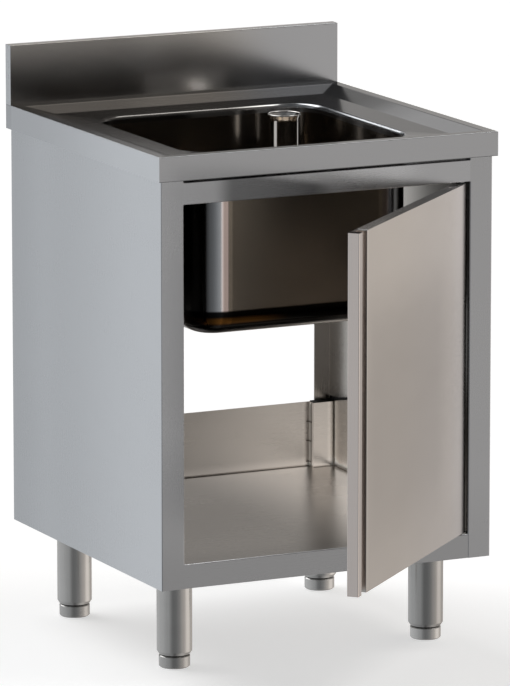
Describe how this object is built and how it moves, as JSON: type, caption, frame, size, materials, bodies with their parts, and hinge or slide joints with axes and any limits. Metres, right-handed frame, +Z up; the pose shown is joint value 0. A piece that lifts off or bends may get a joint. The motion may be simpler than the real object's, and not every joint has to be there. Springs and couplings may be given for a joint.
{
  "type": "kitchen sink unit",
  "caption": "Free-standing stainless sink cabinet: pressed worktop with upstand, deep bowl with standpipe, hinged door with full-height grip, open back, shelf and levelling legs.",
  "frame": {"origin": "on the floor below the middle of the 600 by 600 mm worktop", "axes": "+Z up, +Y towards the wall behind the unit, +X towards the door's hinge side"},
  "size_m": [0.6, 0.9256, 0.95],
  "materials": {
    "brushed_stainless": "satin brushed",
    "bowl_stainless": "satin, drawn",
    "polished_steel": "polished",
    "zinc_steel": "zinc plated",
    "black_rubber": "matt",
    "black_plastic": "matt moulded",
    "core_board": "rigid foam"
  },
  "bodies": {
    "carcass": {"worktop": "brushed_stainless", "upstand_cap_left": "brushed_stainless", "upstand_cap_right": "brushed_stainless", "sink_bowl": "bowl_stainless", "side_panel_right": "brushed_stainless", "side_panel_left": "brushed_stainless", "top_front_rail": "brushed_stainless", "top_rear_rail": "brushed_stainless", "bottom_shelf": "brushed_stainless", "leg_beam_front": "brushed_stainless", "leg_beam_rear": "brushed_stainless", "drain_seat": "polished_steel", "drain_gasket": "black_rubber", "drain_body": "black_plastic", "hinge_pivot_top": "zinc_steel", "hinge_pivot_bottom": "zinc_steel", "leg_socket_front_left": "zinc_steel", "leg_tube_front_left": "brushed_stainless", "leg_insert_front_left": "black_plastic", "leg_socket_front_right": "zinc_steel", "leg_tube_front_right": "brushed_stainless", "leg_insert_front_right": "black_plastic", "leg_socket_rear_left": "zinc_steel", "leg_tube_rear_left": "brushed_stainless", "leg_insert_rear_left": "black_plastic", "leg_socket_rear_right": "zinc_steel", "leg_tube_rear_right": "brushed_stainless", "leg_insert_rear_right": "black_plastic"},
    "door": {"door_front_skin": "brushed_stainless", "door_grip": "brushed_stainless", "door_back_skin": "brushed_stainless", "door_end_top": "brushed_stainless", "door_end_bottom": "brushed_stainless", "door_core": "core_board", "door_bush_top": "black_plastic", "door_bush_bottom": "black_plastic"},
    "standpipe": {"standpipe_tube": "polished_steel", "standpipe_plug": "black_rubber"},
    "levelling_foot_front_left": {"foot_front_left": "brushed_stainless"},
    "levelling_foot_front_right": {"foot_front_right": "brushed_stainless"},
    "levelling_foot_rear_left": {"foot_rear_left": "brushed_stainless"},
    "levelling_foot_rear_right": {"foot_rear_right": "brushed_stainless"}
  },
  "joints": [
    {"name": "door_hinge", "type": "hinge", "parent": "carcass", "child": "door", "pos_m": [0.242, -0.28225, 0.48], "axis": [0, 0, 1], "range_deg": [-43, 52]},
    {"name": "standpipe_lift", "type": "slide", "parent": "carcass", "child": "standpipe", "axis": [0, 0, 1], "range_m": [0, 0.31]},
    {"name": "foot_slide_front_left", "type": "slide", "parent": "carcass", "child": "levelling_foot_front_left", "axis": [0, 0, -1], "range_m": [0, 0.025]},
    {"name": "foot_slide_front_right", "type": "slide", "parent": "carcass", "child": "levelling_foot_front_right", "axis": [0, 0, -1], "range_m": [0, 0.025]},
    {"name": "foot_slide_rear_left", "type": "slide", "parent": "carcass", "child": "levelling_foot_rear_left", "axis": [0, 0, -1], "range_m": [0, 0.025]},
    {"name": "foot_slide_rear_right", "type": "slide", "parent": "carcass", "child": "levelling_foot_rear_right", "axis": [0, 0, -1], "range_m": [0, 0.025]}
  ]
}
